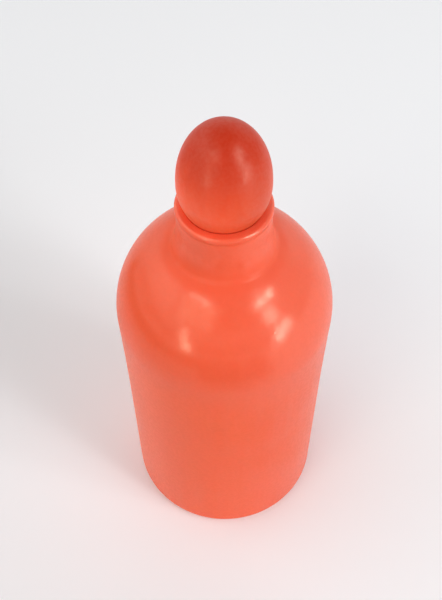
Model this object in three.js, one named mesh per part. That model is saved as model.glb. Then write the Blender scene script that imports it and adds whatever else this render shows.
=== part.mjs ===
// A round glass bottle with a domed shoulder, a short neck and a hollow egg stopper.
// Millimetres, +Z up. The origin is the middle of the foot, on the table.

import * as THREE from 'three';

// Bottle, outside
const LIP_HEIGHT = 238;
const BASE_RADIUS = 55;
const SHOULDER_SWELL = 1.9;
const DOME_INSET = 1.1;
const FOOT_LEAN = 0.4;
const SHOULDER_LEAN = 1.8;
const HEEL_ROUND = 5.6;
const NECK_RADIUS = 23;
const NECK_LENGTH = 12;
const NECK_SWEEP = 45;
const NECK_LEAN = 18.2;
const NECK_FOOT_ROUND = 5;

// Bottle, inside
const WALL = 3.6;
const FLOOR_THICKNESS = 6;
const FLOOR_ROUND = 8;
const MOUTH_RADIUS = 18.7;
const BORE_TAPER = 1;
const INNER_SWEEP = 18;

// Foot: a flat ring round a shallow push-up
const FOOT_WIDTH = 7;
const PUSH_UP = 8;

// Lip: a slight bead with a rounded crown and a softened inner edge
const BEAD_OVERHANG = 0.4;
const BEAD_HEIGHT = 3.9;
const BEAD_STEP = 0.6;
const CROWN_ROUND = 1.6;
const SEAT_ROUND = 1.2;

// Stopper
const EGG_RADIUS = 22.15;
const EGG_CROWN = 33.8;
const EGG_CROWN_POWER = 2.15;
const EGG_BELLY_ROUND = 30;
const EGG_WALL = 2.6;
const SHANK_REACH = 24;
const SHANK_TAPER = 1;
const SHANK_WALL = 2.8;
const SHANK_FILLET = 3;
const SHANK_END_ROUND = 1.2;

// Clearances between stopper and bottle
const SEAT_GAP = 0.3;
const SHANK_GAP = 2.2;

// Smoothness
const BOTTLE_SEGMENTS = 64;
const STOPPER_SEGMENTS = 48;
const WIDE_ARC_STEPS = 7;
const SMALL_ARC_STEPS = 4;
const SHALLOW_STEPS = 4;
const CROWN_STEPS = 10;
const INNER_CROWN_STEPS = 7;
const AXIS_TOLERANCE = 1e-9;

const BODY_COLOUR = 0xf26d4e;
const STOPPER_COLOUR = 0xdd4a32;

const DOWN = -Math.PI / 2;
const UP = Math.PI / 2;

// The point of a circle at an angle from its centre.
function pointOn(circle, angle) {
  return new THREE.Vector2(circle.x + circle.r * Math.cos(angle), circle.z + circle.r * Math.sin(angle));
}

// The wide hollow round by which a straight side swings out to meet the dome above it.
// The side leaves the low round at one angle and the dome takes it over at another.
function sideFlare(low, lowAngle, high, highAngle) {
  const start = pointOn(low, lowAngle);
  const end = pointOn(high, highAngle);
  const alongStart = new THREE.Vector2(-Math.sin(lowAngle), Math.cos(lowAngle));
  const alongEnd = new THREE.Vector2(-Math.sin(highAngle), Math.cos(highAngle));
  const backFromEnd = end.clone().sub(start).cross(alongStart) / alongStart.cross(alongEnd);
  const r = Math.abs(backFromEnd / Math.tan((highAngle - lowAngle) / 2));
  const centre = pointOn({ x: high.x, z: high.z, r: high.r + r }, highAngle);
  return { x: centre.x, z: centre.y, r };
}

// A round of radius r that stands on the outside of a circle and touches an upright line at x.
// side is 1 when the round lies outside the line and -1 when it lies inside it.
function roundOnCircle(circle, x, r, side) {
  const centreX = x + side * r;
  const centreZ = circle.z + Math.sqrt((circle.r + r) ** 2 - (centreX - circle.x) ** 2);
  return { x: centreX, z: centreZ, r };
}

// The angle at one centre that points to another centre.
function angleTo(from, to) {
  return Math.atan2(to.z - from.z, to.x - from.x);
}

// Points along a circle from one angle to another, both ends included.
function arc(circle, start, end, steps) {
  const points = [];
  for (let i = 0; i <= steps; i++) {
    points.push(pointOn(circle, start + (end - start) * i / steps));
  }
  return points;
}

// Turns a half outline round the upright axis. The outline runs anticlockwise, with both ends on the axis.
function turned(outline, segments) {
  for (const point of outline) {
    if (Math.abs(point.x) < AXIS_TOLERANCE) {
      point.x = 0;
    }
  }
  return new THREE.LatheGeometry(outline, segments).rotateX(Math.PI / 2);
}

const footAngle = -THREE.MathUtils.degToRad(FOOT_LEAN);
const shoulderAngle = -THREE.MathUtils.degToRad(SHOULDER_LEAN);
const heel = { x: BASE_RADIUS - HEEL_ROUND, z: HEEL_ROUND, r: HEEL_ROUND };
const domeRound = BASE_RADIUS + SHOULDER_SWELL - DOME_INSET;
const leanAngle = THREE.MathUtils.degToRad(NECK_LEAN) - Math.PI;

// The neck sweeps out to its lean, and a small hollow round takes it down to the dome.
const sweep = { x: NECK_RADIUS + NECK_SWEEP, z: LIP_HEIGHT - NECK_LENGTH, r: NECK_SWEEP };
const footCentre = pointOn({ ...sweep, r: NECK_SWEEP - NECK_FOOT_ROUND }, leanAngle);
const neckFoot = { x: footCentre.x, z: footCentre.y, r: NECK_FOOT_ROUND };
const domeToFoot = Math.sqrt((domeRound + neckFoot.r) ** 2 - (neckFoot.x - DOME_INSET) ** 2);
const dome = { x: DOME_INSET, z: neckFoot.z - domeToFoot, r: domeRound };

const footInner = heel.x - FOOT_WIDTH;
const pushUpRound = (footInner ** 2 + PUSH_UP ** 2) / (2 * PUSH_UP);
const pushUp = { x: 0, z: PUSH_UP - pushUpRound, r: pushUpRound };
const seat = { x: MOUTH_RADIUS + SEAT_ROUND, z: LIP_HEIGHT - SEAT_ROUND, r: SEAT_ROUND };

// The outside of the bottle, from the middle of the push-up to the crown of the lip.
function bottleOutside() {
  const flare = sideFlare(heel, footAngle, dome, shoulderAngle);
  const meet = angleTo(dome, neckFoot);
  const beadRadius = NECK_RADIUS + BEAD_OVERHANG;
  const beadFoot = LIP_HEIGHT - BEAD_HEIGHT;
  const crown = { x: beadRadius - CROWN_ROUND, z: LIP_HEIGHT - CROWN_ROUND, r: CROWN_ROUND };
  return [
    ...arc(pushUp, UP, Math.atan2(-pushUp.z, footInner), SHALLOW_STEPS),
    ...arc(heel, DOWN, footAngle, SMALL_ARC_STEPS),
    ...arc(flare, footAngle + Math.PI, shoulderAngle + Math.PI, SHALLOW_STEPS),
    ...arc(dome, 0, meet, WIDE_ARC_STEPS),
    ...arc(neckFoot, meet - Math.PI, leanAngle, SMALL_ARC_STEPS).slice(1),
    ...arc(sweep, leanAngle, -Math.PI, SMALL_ARC_STEPS).slice(1),
    new THREE.Vector2(NECK_RADIUS, beadFoot),
    new THREE.Vector2(beadRadius, beadFoot + BEAD_STEP),
    ...arc(crown, 0, UP, SMALL_ARC_STEPS),
  ];
}

// The inside of the bottle, from the softened edge of the mouth down to the middle of the floor.
function bottleInside() {
  const innerDome = { x: dome.x, z: dome.z, r: dome.r - WALL };
  const boreFoot = MOUTH_RADIUS - BORE_TAPER;
  const innerSweep = roundOnCircle(innerDome, boreFoot, INNER_SWEEP, 1);
  const meet = angleTo(innerDome, innerSweep);
  const floor = { x: 0, z: pushUp.z, r: pushUp.r + FLOOR_THICKNESS };
  const corner = roundOnCircle(floor, BASE_RADIUS - WALL, FLOOR_ROUND, -1);
  const floorEdge = angleTo(floor, corner);
  const flare = sideFlare(corner, footAngle, innerDome, shoulderAngle);
  return [
    ...arc(seat, UP, Math.PI, SMALL_ARC_STEPS),
    ...arc(innerSweep, Math.PI, meet + Math.PI, SMALL_ARC_STEPS),
    ...arc(innerDome, meet, 0, WIDE_ARC_STEPS).slice(1),
    ...arc(flare, shoulderAngle + Math.PI, footAngle + Math.PI, SHALLOW_STEPS),
    ...arc(corner, footAngle, floorEdge - Math.PI, SMALL_ARC_STEPS),
    ...arc(floor, floorEdge, UP, SHALLOW_STEPS).slice(1),
  ];
}

function bottle() {
  return turned([...bottleOutside(), ...bottleInside()], BOTTLE_SEGMENTS);
}

// The belly of the egg is an arc that rests on the seat, so the seat sets the height of the egg.
const bellyX = EGG_RADIUS - EGG_BELLY_ROUND;
const bellyReach = EGG_BELLY_ROUND + SEAT_GAP + SEAT_ROUND;
const belly = {
  x: bellyX,
  z: seat.z + Math.sqrt(bellyReach ** 2 - (seat.x - bellyX) ** 2),
  r: EGG_BELLY_ROUND,
};

// The crown of the egg, from its widest ring up to its top, as a slightly pointed half oval.
function eggCrown(radius, height, steps) {
  const points = [];
  for (let i = 1; i <= steps; i++) {
    const angle = UP * i / steps;
    const rise = height * Math.sin(angle) ** (2 / EGG_CROWN_POWER);
    points.push(new THREE.Vector2(radius * Math.cos(angle), belly.z + rise));
  }
  return points;
}

// The hollow round between the belly and a shank of the given radius, below the belly's centre.
function shankFillet(circle, shankRadius, r) {
  const centreX = shankRadius + r;
  const centreZ = circle.z - Math.sqrt((circle.r + r) ** 2 - (centreX - circle.x) ** 2);
  return { x: centreX, z: centreZ, r };
}

// The stopper, from the hollow's top down the inside to the end of the shank, and back up outside.
function stopper() {
  const shankRadius = MOUTH_RADIUS - SHANK_GAP;
  const shankFoot = shankRadius - SHANK_TAPER;
  const shankEnd = LIP_HEIGHT - SHANK_REACH;
  const outerFillet = shankFillet(belly, shankRadius, SHANK_FILLET);
  const outerMeet = angleTo(belly, outerFillet);
  const tip = { x: shankFoot - SHANK_END_ROUND, z: shankEnd + SHANK_END_ROUND, r: SHANK_END_ROUND };

  const innerBelly = { x: belly.x, z: belly.z, r: belly.r - EGG_WALL };
  const boreRadius = shankRadius - SHANK_WALL;
  const boreFoot = boreRadius - SHANK_TAPER;
  const innerFillet = shankFillet(innerBelly, boreRadius, SHANK_FILLET + SHANK_WALL);
  const innerMeet = angleTo(innerBelly, innerFillet);
  const outline = [
    ...eggCrown(EGG_RADIUS - EGG_WALL, EGG_CROWN - EGG_WALL, INNER_CROWN_STEPS).reverse(),
    ...arc(innerBelly, 0, innerMeet, WIDE_ARC_STEPS),
    ...arc(innerFillet, innerMeet + Math.PI, Math.PI, SMALL_ARC_STEPS).slice(1),
    new THREE.Vector2(boreFoot, shankEnd),
    ...arc(tip, DOWN, 0, SMALL_ARC_STEPS),
    ...arc(outerFillet, Math.PI, outerMeet + Math.PI, SMALL_ARC_STEPS),
    ...arc(belly, outerMeet, 0, WIDE_ARC_STEPS).slice(1),
    ...eggCrown(EGG_RADIUS, EGG_CROWN, CROWN_STEPS),
  ];
  return turned(outline, STOPPER_SEGMENTS);
}

function mesh(name, geometry, colour, roughness) {
  const material = new THREE.MeshStandardMaterial({ color: colour, roughness, metalness: 0 });
  const piece = new THREE.Mesh(geometry, material);
  piece.name = name;
  return piece;
}

const group = new THREE.Group();
group.add(mesh('bottle', bottle(), BODY_COLOUR, 0.3));
group.add(mesh('stopper', stopper(), STOPPER_COLOUR, 0.25));

export default group;
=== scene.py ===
# A round bottle of satin coral glass with a hollow egg stopper.
# Everything is in metres, +Z up, with the middle of the foot at the origin.

from collections import namedtuple
from math import atan2, cos, pi, radians, sin, sqrt, tan

import bmesh
import bpy
from mathutils import Matrix, Vector


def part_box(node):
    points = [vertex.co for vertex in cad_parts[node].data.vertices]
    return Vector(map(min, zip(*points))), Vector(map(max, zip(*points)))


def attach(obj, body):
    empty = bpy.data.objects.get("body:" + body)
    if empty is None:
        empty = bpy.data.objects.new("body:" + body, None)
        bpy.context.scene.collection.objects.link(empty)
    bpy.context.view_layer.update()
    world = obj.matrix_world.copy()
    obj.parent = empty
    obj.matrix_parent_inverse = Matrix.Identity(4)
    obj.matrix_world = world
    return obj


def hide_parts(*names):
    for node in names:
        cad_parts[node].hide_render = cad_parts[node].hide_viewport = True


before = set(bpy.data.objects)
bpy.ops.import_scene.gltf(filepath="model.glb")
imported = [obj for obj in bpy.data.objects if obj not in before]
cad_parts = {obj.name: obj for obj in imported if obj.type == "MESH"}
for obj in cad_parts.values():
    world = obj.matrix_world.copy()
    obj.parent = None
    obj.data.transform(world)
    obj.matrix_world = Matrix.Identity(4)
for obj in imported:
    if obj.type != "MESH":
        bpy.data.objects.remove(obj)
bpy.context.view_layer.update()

MM = 0.001
UP = pi / 2
DOWN = -pi / 2

# Heights and widths taken from the pieces that these replace
_, BOTTLE_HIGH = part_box("bottle")
STOPPER_LOW, STOPPER_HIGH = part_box("stopper")
LIP_HEIGHT = BOTTLE_HIGH.z
WIDEST_RADIUS = BOTTLE_HIGH.x
EGG_RADIUS = STOPPER_HIGH.x
EGG_TOP = STOPPER_HIGH.z
SHANK_END = STOPPER_LOW.z

# Bottle, outside
BASE_RADIUS = 55 * MM
DOME_INSET = 1.1 * MM
FOOT_LEAN = radians(0.4)
SHOULDER_LEAN = radians(1.8)
HEEL_ROUND = 5.6 * MM
NECK_RADIUS = 23 * MM
NECK_LENGTH = 12 * MM
NECK_SWEEP = 45 * MM
NECK_LEAN = radians(18.2)
NECK_FOOT_ROUND = 5 * MM

# Bottle, inside
WALL = 3.6 * MM
FLOOR_THICKNESS = 6 * MM
FLOOR_ROUND = 8 * MM
MOUTH_RADIUS = 18.7 * MM
BORE_TAPER = 1 * MM
INNER_SWEEP = 18 * MM

# Foot: a flat ring round a shallow push-up, with the pontil mark ground out of its middle
FOOT_WIDTH = 7 * MM
PUSH_UP = 8 * MM
PONTIL_RADIUS = 11 * MM
PONTIL_DEPTH = 0.7 * MM
PONTIL_FLAT_SHARE = 0.9
PONTIL_RIM_SHARE = 0.8

# Lip: a slight bead with a rounded crown, and the line that the jacks left under it
BEAD_OVERHANG = 0.4 * MM
BEAD_HEIGHT = 3.9 * MM
BEAD_STEP = 0.6 * MM
JACK_LINE_DEPTH = 0.12 * MM
JACK_LINE_WIDTH = 1.1 * MM
CROWN_ROUND = 1.6 * MM
SEAT_ROUND = 1.2 * MM
SEAT_SWELL = 0.3 * MM

# Stopper
EGG_CROWN_POWER = 2.15
EGG_BELLY_ROUND = 30 * MM
EGG_WALL = 2.6 * MM
SHANK_TAPER = 1 * MM
SHANK_WALL = 2.8 * MM
SHANK_FILLET = 3 * MM
SHANK_END_ROUND = 1.2 * MM
SEAT_GAP = 0.3 * MM
SHANK_GAP = 2.2 * MM

# Steps round the axis, and along each stretch of the bottle and the stopper from start to end
BOTTLE_TURNS = 192
STOPPER_TURNS = 144
PONTIL_STEPS = 4
PUSH_UP_STEPS = 14
HEEL_STEPS = 12
FLARE_STEPS = 20
DOME_STEPS = 40
NECK_FOOT_STEPS = 10
SWEEP_STEPS = 16
NECK_STEPS = 4
BEAD_STEPS = 2
LIP_STEPS = 12
SEAT_STEPS = 10
INNER_SWEEP_STEPS = 16
INNER_DOME_STEPS = 28
INNER_FLARE_STEPS = 12
CORNER_STEPS = 12
FLOOR_STEPS = 14
EGG_CROWN_STEPS = 40
INNER_BELLY_STEPS = 16
BELLY_STEPS = 20
SHANK_STEPS = 8

# Points closer than the first are merged. A face that is within the second of a height counts as on it.
MERGE_DISTANCE = 2e-5
NEARNESS = 0.05 * MM


# Outlines and turned pieces

Circle = namedtuple("Circle", "x z r")


def point_on(circle, angle):
    """The point of a circle at an angle from its centre."""
    return circle.x + circle.r * cos(angle), circle.z + circle.r * sin(angle)


def angle_to(start, end):
    """The angle at one centre that points to another centre."""
    return atan2(end.z - start.z, end.x - start.x)


def round_on_circle(circle, x, r, side):
    """A round that stands on a circle and touches an upright line at x, outside it where side is 1."""
    centre_x = x + side * r
    centre_z = circle.z + sqrt((circle.r + r) ** 2 - (centre_x - circle.x) ** 2)
    return Circle(centre_x, centre_z, r)


def shank_fillet(circle, shank_radius, r):
    """The hollow round between the belly and a shank of the given radius."""
    centre_x = shank_radius + r
    centre_z = circle.z - sqrt((circle.r + r) ** 2 - (centre_x - circle.x) ** 2)
    return Circle(centre_x, centre_z, r)


def side_flare(low, low_angle, high, high_angle):
    """The wide hollow round by which a straight side swings out to meet the dome above it."""
    start = Vector(point_on(low, low_angle))
    end = Vector(point_on(high, high_angle))
    along_start = Vector((-sin(low_angle), cos(low_angle)))
    along_end = Vector((-sin(high_angle), cos(high_angle)))
    back_from_end = (end - start).cross(along_start) / along_start.cross(along_end)
    r = abs(back_from_end / tan((high_angle - low_angle) / 2))
    centre = point_on(Circle(high.x, high.z, high.r + r), high_angle)
    return Circle(*centre, r)


class Outline:
    """Half the outline of a turned piece, drawn from one end on the axis to the other."""

    def __init__(self, x, z):
        self.mesh = bmesh.new()
        self.tip = self.mesh.verts.new((x, 0, z))

    def line(self, x, z, steps=1):
        """A straight stretch to a point."""
        step = (Vector((x, 0, z)) - self.tip.co) / steps
        if step.length < MERGE_DISTANCE:
            return
        for _ in range(steps):
            made = bmesh.ops.extrude_vert_indiv(self.mesh, verts=[self.tip])
            self.tip = made["verts"][0]
            bmesh.ops.translate(self.mesh, verts=[self.tip], vec=step)

    def arc(self, circle, start, end, steps):
        """A straight stretch to the start of a round one, and the round one."""
        self.line(*point_on(circle, start))
        made = bmesh.ops.spin(
            self.mesh,
            geom=[self.tip],
            cent=(circle.x, 0, circle.z),
            axis=(0, -1, 0),
            angle=end - start,
            steps=steps,
        )
        self.tip = next(g for g in made["geom_last"] if isinstance(g, bmesh.types.BMVert))

    def turned(self, name, turns, materials, slot_of_face):
        """The outline turned round the upright axis, as a smooth closed piece."""
        bmesh.ops.spin(
            self.mesh,
            geom=self.mesh.verts[:] + self.mesh.edges[:],
            cent=(0, 0, 0),
            axis=(0, 0, 1),
            angle=2 * pi,
            steps=turns,
            use_merge=True,
        )
        bmesh.ops.remove_doubles(self.mesh, verts=self.mesh.verts[:], dist=MERGE_DISTANCE)
        bmesh.ops.recalc_face_normals(self.mesh, faces=self.mesh.faces[:])
        for face in self.mesh.faces:
            face.smooth = True
            face.material_index = slot_of_face(face.calc_center_median())
        data = bpy.data.meshes.new(name)
        self.mesh.to_mesh(data)
        self.mesh.free()
        for material in materials:
            data.materials.append(material)
        piece = bpy.data.objects.new(name, data)
        bpy.context.scene.collection.objects.link(piece)
        return piece


# The finishes of a piece, in the order of its materials
SKIN = 0
CASING = 1
GROUND = 2

# Bottle

foot_angle = -FOOT_LEAN
shoulder_angle = -SHOULDER_LEAN
heel = Circle(BASE_RADIUS - HEEL_ROUND, HEEL_ROUND, HEEL_ROUND)
dome_round = WIDEST_RADIUS - DOME_INSET
lean_angle = NECK_LEAN - pi
sweep = Circle(NECK_RADIUS + NECK_SWEEP, LIP_HEIGHT - NECK_LENGTH, NECK_SWEEP)
neck_foot = Circle(*point_on(sweep._replace(r=NECK_SWEEP - NECK_FOOT_ROUND), lean_angle), NECK_FOOT_ROUND)
dome_to_foot = sqrt((dome_round + neck_foot.r) ** 2 - (neck_foot.x - DOME_INSET) ** 2)
dome = Circle(DOME_INSET, neck_foot.z - dome_to_foot, dome_round)
foot_inner = heel.x - FOOT_WIDTH
push_up_round = (foot_inner ** 2 + PUSH_UP ** 2) / (2 * PUSH_UP)
push_up = Circle(0, PUSH_UP - push_up_round, push_up_round)
seat = Circle(MOUTH_RADIUS + SEAT_ROUND, LIP_HEIGHT - SEAT_ROUND, SEAT_ROUND)
inner_dome = Circle(dome.x, dome.z, dome.r - WALL)


def draw_bottle_outside(outline):
    """From the middle of the push-up to the crown of the lip."""
    flare = side_flare(heel, foot_angle, dome, shoulder_angle)
    meet = angle_to(dome, neck_foot)
    bead_radius = NECK_RADIUS + BEAD_OVERHANG
    bead_foot = LIP_HEIGHT - BEAD_HEIGHT
    crown = Circle(bead_radius - CROWN_ROUND, LIP_HEIGHT - CROWN_ROUND, CROWN_ROUND)
    pontil_edge = UP - PONTIL_RADIUS / push_up.r
    outline.arc(push_up, pontil_edge, atan2(-push_up.z, foot_inner), PUSH_UP_STEPS)
    outline.arc(heel, DOWN, foot_angle, HEEL_STEPS)
    outline.arc(flare, foot_angle + pi, shoulder_angle + pi, FLARE_STEPS)
    outline.arc(dome, shoulder_angle, meet, DOME_STEPS)
    outline.arc(neck_foot, meet - pi, lean_angle, NECK_FOOT_STEPS)
    outline.arc(sweep, lean_angle, -pi, SWEEP_STEPS)
    outline.line(NECK_RADIUS, bead_foot - JACK_LINE_WIDTH, NECK_STEPS)
    outline.line(NECK_RADIUS - JACK_LINE_DEPTH, bead_foot - JACK_LINE_WIDTH / 3, BEAD_STEPS)
    outline.line(NECK_RADIUS, bead_foot, BEAD_STEPS)
    outline.line(bead_radius, bead_foot + BEAD_STEP, BEAD_STEPS)
    outline.arc(crown, 0, UP, LIP_STEPS)


def draw_bottle_inside(outline):
    """From the softened edge of the mouth down to the middle of the floor."""
    bore_foot = MOUTH_RADIUS - BORE_TAPER
    inner_sweep = round_on_circle(inner_dome, bore_foot, INNER_SWEEP, 1)
    meet = angle_to(inner_dome, inner_sweep)
    floor = Circle(0, push_up.z, push_up.r + FLOOR_THICKNESS)
    corner = round_on_circle(floor, BASE_RADIUS - WALL, FLOOR_ROUND, -1)
    floor_edge = angle_to(floor, corner)
    flare = side_flare(corner, foot_angle, inner_dome, shoulder_angle)
    outline.arc(seat._replace(x=seat.x - SEAT_SWELL), UP, pi, SEAT_STEPS)
    outline.arc(inner_sweep, pi, meet + pi, INNER_SWEEP_STEPS)
    outline.arc(inner_dome, meet, shoulder_angle, INNER_DOME_STEPS)
    outline.arc(flare, shoulder_angle + pi, foot_angle + pi, INNER_FLARE_STEPS)
    outline.arc(corner, foot_angle, floor_edge - pi, CORNER_STEPS)
    outline.arc(floor, floor_edge, UP, FLOOR_STEPS)


def bottle_slot(point):
    """Which of the bottle's three finishes a face has, going by its middle."""
    radius = Vector(point.xy).length
    if point.z < NEARNESS:
        return GROUND
    if point.z > seat.z or point.z <= PUSH_UP:
        return SKIN
    reach = Vector((radius - inner_dome.x, max(0, point.z - inner_dome.z))).length
    in_mouth = radius < MOUTH_RADIUS + NEARNESS
    return CASING if in_mouth or reach < inner_dome.r + WALL / 4 else SKIN


def make_bottle(materials):
    outline = Outline(0, PUSH_UP + PONTIL_DEPTH)
    outline.line(PONTIL_RADIUS * PONTIL_FLAT_SHARE, PUSH_UP + PONTIL_DEPTH * PONTIL_RIM_SHARE, PONTIL_STEPS)
    draw_bottle_outside(outline)
    draw_bottle_inside(outline)
    return outline.turned("bottle_glass", BOTTLE_TURNS, materials, bottle_slot)


# Stopper

belly_x = EGG_RADIUS - EGG_BELLY_ROUND
belly_reach = EGG_BELLY_ROUND + SEAT_GAP + SEAT_ROUND
belly = Circle(belly_x, seat.z + sqrt(belly_reach ** 2 - (seat.x - belly_x) ** 2), EGG_BELLY_ROUND)


def draw_egg_crown(outline, radius, height, angles):
    """The crown of the egg as a slightly pointed half oval."""
    for angle in angles:
        rise = height * sin(angle) ** (2 / EGG_CROWN_POWER)
        outline.line(radius * cos(angle), belly.z + rise)


def make_stopper(materials):
    shank_radius = MOUTH_RADIUS - SHANK_GAP
    shank_foot = shank_radius - SHANK_TAPER
    outer_fillet = shank_fillet(belly, shank_radius, SHANK_FILLET)
    outer_meet = angle_to(belly, outer_fillet)
    tip = Circle(shank_foot - SHANK_END_ROUND, SHANK_END + SHANK_END_ROUND, SHANK_END_ROUND)
    inner_belly = Circle(belly.x, belly.z, belly.r - EGG_WALL)
    bore_radius = shank_radius - SHANK_WALL
    bore_foot = bore_radius - SHANK_TAPER
    inner_fillet = shank_fillet(inner_belly, bore_radius, SHANK_FILLET + SHANK_WALL)
    inner_meet = angle_to(inner_belly, inner_fillet)
    egg_crown = EGG_TOP - belly.z
    rising = [UP * step / EGG_CROWN_STEPS for step in range(1, EGG_CROWN_STEPS + 1)]

    outline = Outline(0, EGG_TOP - EGG_WALL)
    falling = rising[-2::-1]
    draw_egg_crown(outline, EGG_RADIUS - EGG_WALL, egg_crown - EGG_WALL, falling)
    outline.arc(inner_belly, 0, inner_meet, INNER_BELLY_STEPS)
    outline.arc(inner_fillet, inner_meet + pi, pi, SHANK_STEPS)
    outline.line(bore_foot, SHANK_END)
    outline.arc(tip, DOWN, 0, SHANK_STEPS)
    outline.arc(outer_fillet, pi, outer_meet + pi, SHANK_STEPS)
    outline.arc(belly, outer_meet, 0, BELLY_STEPS)
    draw_egg_crown(outline, EGG_RADIUS, egg_crown, rising)

    def slot(point):
        """Which of the stopper's three finishes a face has, going by its middle."""
        radius = Vector(point.xy).length
        height = point.z - belly.z
        if point.z < SHANK_END + NEARNESS:
            return GROUND
        if height > 0:
            across = radius / (EGG_RADIUS - EGG_WALL / 2)
            along = height / (egg_crown - EGG_WALL / 2)
            inside = across ** 2 + along ** 2 < 1
        elif point.z > outer_fillet.z:
            inside = Vector((radius - belly.x, height)).length < belly.r - EGG_WALL / 2
        else:
            inside = radius < bore_radius + (SHANK_WALL - SHANK_TAPER) / 2
        return CASING if inside else SKIN

    return outline.turned("stopper_glass", STOPPER_TURNS, materials, slot)


# Shader arithmetic

class Signal:
    """A node's output. Python arithmetic on it adds Math nodes."""

    def __init__(self, finish, socket):
        self.finish = finish
        self.socket = socket

    def combine(self, operation, first, second):
        return self.finish.node("Math", {"operation": operation}, {0: first, 1: second})

    def __add__(self, other):
        return self.combine("ADD", self, other)

    def __sub__(self, other):
        return self.combine("SUBTRACT", self, other)

    def __rsub__(self, other):
        return self.combine("SUBTRACT", other, self)

    def __mul__(self, other):
        return self.combine("MULTIPLY", self, other)

    def __truediv__(self, other):
        return self.combine("DIVIDE", self, other)

    __radd__ = __add__
    __rmul__ = __mul__


class Finish:
    """One material or world, built up node by node."""

    def __init__(self, tree):
        self.tree = tree
        self.tree.nodes.clear()

    def node(self, kind, settings=None, sockets=None, output=None):
        """Adds a node, sets its settings first and then its sockets, and returns an output."""
        made = self.tree.nodes.new("ShaderNode" + kind)
        for name, value in (settings or {}).items():
            if name == "stops":
                self.set_stops(made.color_ramp.elements, value)
            else:
                setattr(made, name, value)
        for name, value in (sockets or {}).items():
            socket = self.find(made.inputs, name)
            if isinstance(value, Signal):
                self.tree.links.new(value.socket, socket)
            else:
                socket.default_value = value
        if not made.outputs:
            return made
        if output is None:
            return Signal(self, next(s for s in made.outputs if s.enabled))
        return Signal(self, self.find(made.outputs, output))

    @staticmethod
    def find(sockets, name):
        if isinstance(name, int):
            return sockets[name]
        return next(s for s in sockets if name in (s.identifier, s.name))

    @staticmethod
    def set_stops(elements, stops):
        while len(elements) < len(stops):
            elements.new(1)
        for element, (position, colour) in zip(elements, stops):
            element.position = position
            element.color = colour

    def noise(self, point, scale):
        return self.node("TexNoise", None, {"Vector": point, "Scale": scale, "Detail": NOISE_DETAIL})

    def bump(self, height, strength, distance):
        return self.node("Bump", None, {"Height": height, "Strength": strength, "Distance": distance})

    def mix(self, factor, first, second):
        return self.node("Mix", {"data_type": "RGBA"}, {
            "Factor_Float": factor, "A_Color": first, "B_Color": second})

    def fade(self, value, low, high):
        """0 below low and 1 above high, with a soft change between them."""
        return self.node("MapRange", {"interpolation_type": "SMOOTHSTEP"}, {
            "Value": value, "From Min": low, "From Max": high})

    def near(self, point, place, reach):
        """1 at a place and 0 further from it than the reach."""
        distance = self.node("VectorMath", {"operation": "DISTANCE"}, {0: point, 1: place})
        return self.fade(distance, reach, reach / 2)

    def root(self, value):
        return self.node("Math", {"operation": "SQRT"}, {0: value})

    def stretched(self, point, scale):
        return self.node("Mapping", None, {"Vector": point, "Scale": scale})

    def position(self):
        return self.node("TexCoord", output="Object")

    def parts(self, point):
        """The X, Y and Z of a point."""
        split = self.node("SeparateXYZ", None, {"Vector": point}).socket.node
        return [Signal(self, socket) for socket in split.outputs]


def new_material(name):
    material = bpy.data.materials.new(name)
    material.use_nodes = True
    return material, Finish(material.node_tree)


# Materials

CORAL = (0.82, 0.126, 0.066, 1)
CORAL_DEEP = (0.79, 0.111, 0.055, 1)
# Painted shade: the lower body's deeper, more saturated colour offsets the sheen reflected there.
CORAL_WALL_PAINTED_SHADE = (0.78, 0.077, 0.013, 1)
# Painted light: the lighter colour on one side stands in for lamp light shining through the glass.
CORAL_PAINTED_LIGHT = (0.99, 0.106, 0.020, 1)
EGG_RED = (0.66, 0.074, 0.025, 1)
EGG_RED_DEEP = (0.53, 0.032, 0.008, 1)
# Painted light: the egg's lighter side stands in for lamp light shining through the glass.
EGG_PAINTED_LIGHT = (0.99, 0.124, 0.050, 1)
OPAL = (0.80, 0.70, 0.64, 1)
OPAL_BLUSH = (0.86, 0.60, 0.52, 1)
CUT = (0.72, 0.22, 0.15, 1)
CUT_PALE = (0.80, 0.40, 0.32, 1)
FLOOR_WHITE = (0.92, 0.935, 0.96, 1)

# Casing inside, ground glass and floor
GLASS_IOR = 1.5
NOISE_DETAIL = 3
BLUSH_SCALE = 30
CASING_ROUGHNESS = 0.15
GRIT_SCALE = 1500
GRIT_STRENGTH = 0.4
GRIT_HEIGHT = 0.05 * MM
GROUND_ROUGHNESS = 0.55
FLOOR_ROUGHNESS = 0.85
FLOOR_GLOSS = 0.2

# The satin: matt glass with a grain of smoother spots, which are a share of the surface and gleam.
# The bottle is smoother than the egg, and the hollow at the foot of its neck is dull.
# The rounded lip was polished by the fire. The egg wasn't, so its height for that is far above it.
Satin = namedtuple("Satin", "least_spots most_spots roughness polished_from")
BOTTLE_SATIN = Satin(0.36, 0.54, 0.2, 236.4 * MM)
EGG_SATIN = Satin(0.26, 0.42, 0.34, 1)
POLISH = 0.35
POLISH_REACH = MM
MATT_ROUGHNESS = 0.4
MATT_GLOSS = 0.05
SPOT_IOR = 1.8
SPOT_TINT = (1, 0.9, 0.7, 1)
SPOT_SCALE = 600
SPOT_FROM = 0.36
SPOT_TO = 0.64
SPOT_STRENGTH = 0.2
SPOT_HEIGHT = 0.1 * MM
GLOW = 0.5
GLOW_REACH = 3 * MM
GLOW_SHARES = (1.0, 0.3, 0.15)
HOLLOW_RADIUS = 26.8 * MM
HOLLOW_HEIGHT = 210.5 * MM
HOLLOW_REACH = 8.5 * MM
HOLLOW_CORE = HOLLOW_REACH / 3
HOLLOW_SHARE = 0.75
FLECK_PLACE = (23.9 * MM, -41.2 * MM, 190.9 * MM)
FLECK_RADIUS = 1.1 * MM
FLECK_RISE = 6

# The cloudy colour: soft clouds with faint upright streaks
CLOUD_SCALE = 22
STREAK_SCALE = (260, 260, 14)
CLOUD_SHARE = 0.65
CLOUD_FROM = 0.36
CLOUD_TO = 0.66


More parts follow.
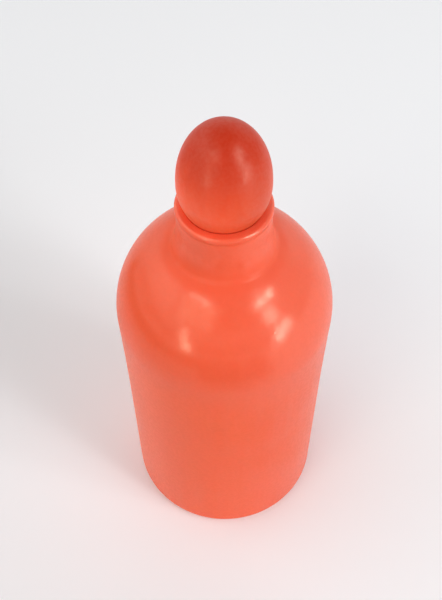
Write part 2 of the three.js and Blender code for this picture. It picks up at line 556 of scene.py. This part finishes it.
def satin_glass(name, tint_of, satin):
    """Satin glass with a cloudy colour, faint upright streaks and a fine grain in its sheen."""
    material, finish = new_material(name)
    point = finish.position()
    x, y, z = finish.parts(point)
    radius = finish.root(x * x + y * y)
    clouds = finish.noise(point, CLOUD_SCALE)
    streaks = finish.noise(finish.stretched(point, STREAK_SCALE), 1)
    cloudy = finish.fade(clouds * CLOUD_SHARE + streaks * (1 - CLOUD_SHARE), CLOUD_FROM, CLOUD_TO)
    base = tint_of(finish, point, cloudy)
    grain = finish.noise(point, SPOT_SCALE)
    spot_range = satin.most_spots - satin.least_spots
    spots = finish.fade(grain, SPOT_FROM, SPOT_TO) * spot_range + satin.least_spots
    fleck = finish.near(point, FLECK_PLACE, FLECK_RADIUS)
    away = radius - HOLLOW_RADIUS
    above = z - HOLLOW_HEIGHT
    hollow = finish.fade(finish.root(away * away + above * above), HOLLOW_REACH, HOLLOW_CORE)
    raised = grain + fleck * FLECK_RISE
    bump = finish.bump(raised, SPOT_STRENGTH, SPOT_HEIGHT)
    body = {"Base Color": base, "Normal": bump, "Subsurface Weight": GLOW,
            "Subsurface Radius": GLOW_SHARES, "Subsurface Scale": GLOW_REACH}
    matt = finish.node("BsdfPrincipled", None, {
        **body, "Roughness": MATT_ROUGHNESS, "Specular IOR Level": MATT_GLOSS})
    gleam = finish.node("BsdfPrincipled", None, {
        **body, "Roughness": satin.roughness, "IOR": SPOT_IOR, "Specular Tint": SPOT_TINT})
    polish = finish.fade(z, satin.polished_from, satin.polished_from + POLISH_REACH) * POLISH
    gleaming = spots * (1 - hollow * HOLLOW_SHARE) + fleck + polish
    shader = finish.node("MixShader", None, {0: gleaming, 1: matt, 2: gleam})
    finish.node("OutputMaterial", None, {"Surface": shader})
    return material


# Where the colours of the glass change, and how much of each change is seen
FRONT_LEAN = 0.3
# Painted shade: the heights between which the lower body turns to its deeper colour.
WALL_SHADE_PAINT_FROM = 176 * MM
WALL_SHADE_PAINT_TO = 136 * MM
# Painted light on the bottle: where its lighter side begins and where it is full, and its share on the
# dome.
BOTTLE_LIGHT_PAINT_FROM = 45 * MM
BOTTLE_LIGHT_PAINT_TO = -60 * MM
BOTTLE_LIGHT_PAINT_DOME_SHARE = 0.35
BOTTLE_CLOUD_SHARE = 0.6
EGG_CROWN_FROM = 249 * MM
EGG_CROWN_TO = 286 * MM
EGG_CROWN_CLOUD = 4 * MM
# Painted light on the egg: where its lighter side begins and where it is full.
EGG_LIGHT_PAINT_FROM = 14 * MM
EGG_LIGHT_PAINT_TO = -26 * MM


def coral_tint(finish, point, cloudy):
    """Deeper and more saturated down the lower body, which is painted shade that offsets the sheen
    reflected there, and lighter towards one side, which is painted light standing in for lamp light shining
    through the glass.
    """
    x, y, z = finish.parts(point)
    # Painted shade that offsets the sheen reflected down the lower body.
    wall_painted_shade = finish.fade(z, WALL_SHADE_PAINT_FROM, WALL_SHADE_PAINT_TO)
    # Painted light: lighter towards one side, full down the lower body and at a share of that on the dome.
    side = finish.fade(x + y * FRONT_LEAN, BOTTLE_LIGHT_PAINT_FROM, BOTTLE_LIGHT_PAINT_TO)
    painted_light = side * (wall_painted_shade * (1 - BOTTLE_LIGHT_PAINT_DOME_SHARE) + BOTTLE_LIGHT_PAINT_DOME_SHARE)
    even = finish.mix(cloudy * BOTTLE_CLOUD_SHARE, finish.mix(wall_painted_shade, CORAL, CORAL_WALL_PAINTED_SHADE), CORAL_DEEP)
    return finish.mix(painted_light, even, CORAL_PAINTED_LIGHT)


def egg_tint(finish, point, cloudy):
    """Redder towards the crown, where the glass was gathered thickest, and lighter towards one side, which
    is painted light standing in for lamp light shining through the glass.
    """
    x, y, z = finish.parts(point)
    crown = finish.fade(z + cloudy * EGG_CROWN_CLOUD, EGG_CROWN_FROM, EGG_CROWN_TO)
    # Painted light: lighter towards one side of the egg.
    painted_light = finish.fade(x + y * FRONT_LEAN, EGG_LIGHT_PAINT_FROM, EGG_LIGHT_PAINT_TO)
    return finish.mix(crown, finish.mix(painted_light, EGG_RED, EGG_PAINTED_LIGHT), EGG_RED_DEEP)


def opal_casing():
    material, finish = new_material("opal_casing")
    point = finish.position()
    base = finish.mix(finish.noise(point, BLUSH_SCALE), OPAL, OPAL_BLUSH)
    shader = finish.node("BsdfPrincipled", None, {
        "Base Color": base, "Roughness": CASING_ROUGHNESS, "IOR": GLASS_IOR})
    finish.node("OutputMaterial", None, {"Surface": shader})
    return material


def ground_glass():
    material, finish = new_material("ground_glass")
    point = finish.position()
    grit = finish.noise(point, GRIT_SCALE)
    shader = finish.node("BsdfPrincipled", None, {
        "Base Color": finish.mix(grit, CUT, CUT_PALE), "Roughness": GROUND_ROUGHNESS, "IOR": GLASS_IOR,
        "Normal": finish.bump(grit, GRIT_STRENGTH, GRIT_HEIGHT)})
    finish.node("OutputMaterial", None, {"Surface": shader})
    return material


def pale_floor():
    material, finish = new_material("pale_floor")
    shader = finish.node("BsdfPrincipled", None, {
        "Base Color": FLOOR_WHITE, "Roughness": FLOOR_ROUGHNESS, "Specular IOR Level": FLOOR_GLOSS})
    finish.node("OutputMaterial", None, {"Surface": shader})
    return material


casing = opal_casing()
ground = ground_glass()
bottle = make_bottle([satin_glass("coral_glass", coral_tint, BOTTLE_SATIN), casing, ground])
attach(bottle, "bottle")
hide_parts("bottle")

stopper = make_stopper([satin_glass("red_glass", egg_tint, EGG_SATIN), casing, ground])
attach(stopper, "stopper")
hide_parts("stopper")


# Floor, camera, world and lamps

FLOOR_HALF = 4


def make_floor():
    mesh = bmesh.new()
    bmesh.ops.create_grid(mesh, x_segments=1, y_segments=1, size=FLOOR_HALF)
    data = bpy.data.meshes.new("floor")
    mesh.to_mesh(data)
    mesh.free()
    data.materials.append(pale_floor())
    floor = bpy.data.objects.new("floor", data)
    bpy.context.scene.collection.objects.link(floor)


CAMERA_PLACE = (-0.0018, -0.2965, 0.5661)
CAMERA_PITCH = radians(53.75)
CAMERA_ROLL = radians(-0.43)
CAMERA_LENS = 57
CAMERA_SENSOR = 36


def make_camera():
    data = bpy.data.cameras.new("camera")
    data.lens = CAMERA_LENS
    data.sensor_width = CAMERA_SENSOR
    camera = bpy.data.objects.new("camera", data)
    tilt = Matrix.Rotation(UP - CAMERA_PITCH, 4, "X")
    camera.matrix_world = Matrix.Translation(CAMERA_PLACE) @ tilt @ Matrix.Rotation(CAMERA_ROLL, 4, "Z")
    bpy.context.scene.collection.objects.link(camera)
    bpy.context.scene.camera = camera


def softbox(name, azimuth, elevation, width, height, watts, colour):
    """An area lamp that looks at the middle of the bottle from the given side."""
    data = bpy.data.lights.new(name, "AREA")
    data.shape = "RECTANGLE"
    data.size = width
    data.size_y = height
    data.energy = watts
    data.color = colour
    lamp = bpy.data.objects.new(name, data)
    away = Vector((cos(azimuth) * cos(elevation), sin(azimuth) * cos(elevation), sin(elevation)))
    place = Vector((0, 0, LIP_HEIGHT / 2)) + LAMP_DISTANCE * away
    lamp.matrix_world = Matrix.Translation(place) @ away.to_track_quat("Z", "Y").to_matrix().to_4x4()
    bpy.context.scene.collection.objects.link(lamp)


# How light each side of the studio is from the horizon up to the zenith, as height and lightness
LEFT = [(0.0, 0.4), (0.15, 0.7), (0.3, 1.4), (0.6, 2.0), (0.75, 1.2), (0.9, 0.5)]
RIGHT = [(0.0, 0.3), (0.3, 0.5), (0.6, 0.65), (0.75, 0.5), (0.9, 0.1)]
FRONT = [(0.0, 0.1), (0.3, 0.8), (0.45, 0.1), (0.75, 0.2), (0.9, 0.3)]
BACK = [(0.0, 0.8), (0.15, 1.6), (0.3, 1.1), (0.6, 0.85), (0.9, 0.4)]
# Where left turns into right, and where the front and the back begin and are full
ACROSS = 0.7
ALONG_FROM = 0.2
ALONG_TO = 0.9
STUDIO_STRENGTH = 1.95


def make_world():
    world = bpy.data.worlds.new("studio")
    world.use_nodes = True
    bpy.context.scene.world = world
    finish = Finish(world.node_tree)
    x, y, height = finish.parts(finish.node("TexCoord", output="Generated"))
    level = finish.root(x * x + y * y)
    across = x / level
    along = y / level

    def ramp(stops):
        """A side's lightness. The stops are halved to stay within 1, and the strength makes up for it."""
        lights = [(place, (light / 2, light / 2, light / 2, 1)) for place, light in stops]
        return finish.node("ValToRGB", {"stops": lights}, {"Fac": height})

    sky = finish.mix(finish.fade(across, -ACROSS, ACROSS), ramp(LEFT), ramp(RIGHT))
    sky = finish.mix(finish.fade(along, -ALONG_FROM, -ALONG_TO), sky, ramp(FRONT))
    sky = finish.mix(finish.fade(along, ALONG_FROM, ALONG_TO), sky, ramp(BACK))
    background = finish.node("Background", None, {"Color": sky, "Strength": STUDIO_STRENGTH})
    finish.node("OutputWorld", None, {"Surface": background})


LAMP_DISTANCE = 2.5
WHITE = (1, 1, 1)
WARM = (1, 0.9, 0.78)
# Name, azimuth, elevation, width, height, watts and colour of each lamp
LAMPS = [
    ("right_top", -27, 54, 0.9, 0.3, 2, WHITE),
    ("right_high", -33, 42, 1.2, 0.26, 7, WHITE),
    ("right_high_front", -38, 42, 0.2, 0.26, 2.8, WHITE),
    ("right_high_back", -22, 41, 0.22, 0.3, 3.4, WHITE),
    ("right_mid", -37, 26, 0.6, 0.7, 9, WHITE),
    ("right_low", -38, 0, 0.3, 0.3, 4.2, WHITE),
    ("right_low_back", -31, 6, 0.8, 0.5, 10.5, WHITE),
    ("left_wide", -124, 38, 1.6, 1.2, 12, WARM),
    ("left_top", -129, 52, 1.0, 0.14, 3.8, WHITE),
    ("left_mid", -130, 12, 0.4, 0.6, 4, WARM),
    ("left_low", -126, 1, 0.35, 0.3, 4, WARM),
]

CARD_FOOT = 15 * MM
CARD_STEPS = 40
CARD_BLACK = (0.05, 0.05, 0.05, 1)
# Name, radius, height, first azimuth and sweep of each dark card
CARDS = [
    ("card", 0.45, 0.115, 140, 165),
    ("card_front", 0.26, 0.075, 248, 60),
]


def make_card(name, radius, height, start, sweep):
    """A low dark card that stands round a side of the bottle, which the glass shows as a dark band."""
    mesh = bmesh.new()
    low = mesh.verts.new((radius * cos(start), radius * sin(start), CARD_FOOT))
    raised = bmesh.ops.extrude_vert_indiv(mesh, verts=[low])
    bmesh.ops.translate(mesh, verts=raised["verts"], vec=(0, 0, height))
    bmesh.ops.spin(mesh, geom=mesh.verts[:] + mesh.edges[:], cent=(0, 0, 0), axis=(0, 0, 1),
                   angle=sweep, steps=CARD_STEPS)
    data = bpy.data.meshes.new(name)
    mesh.to_mesh(data)
    mesh.free()
    material, finish = new_material(name + "_black")
    shader = finish.node("BsdfDiffuse", None, {"Color": CARD_BLACK})
    finish.node("OutputMaterial", None, {"Surface": shader})
    data.materials.append(material)
    card = bpy.data.objects.new(name, data)
    bpy.context.scene.collection.objects.link(card)
    card.visible_camera = False


make_floor()
for name, radius, height, start, sweep in CARDS:
    make_card(name, radius, height, radians(start), radians(sweep))
make_camera()
make_world()
for name, azimuth, elevation, width, height, watts, colour in LAMPS:
    softbox(name, radians(azimuth), radians(elevation), width, height, watts, colour)
bpy.context.scene.view_settings.view_transform = "Standard"
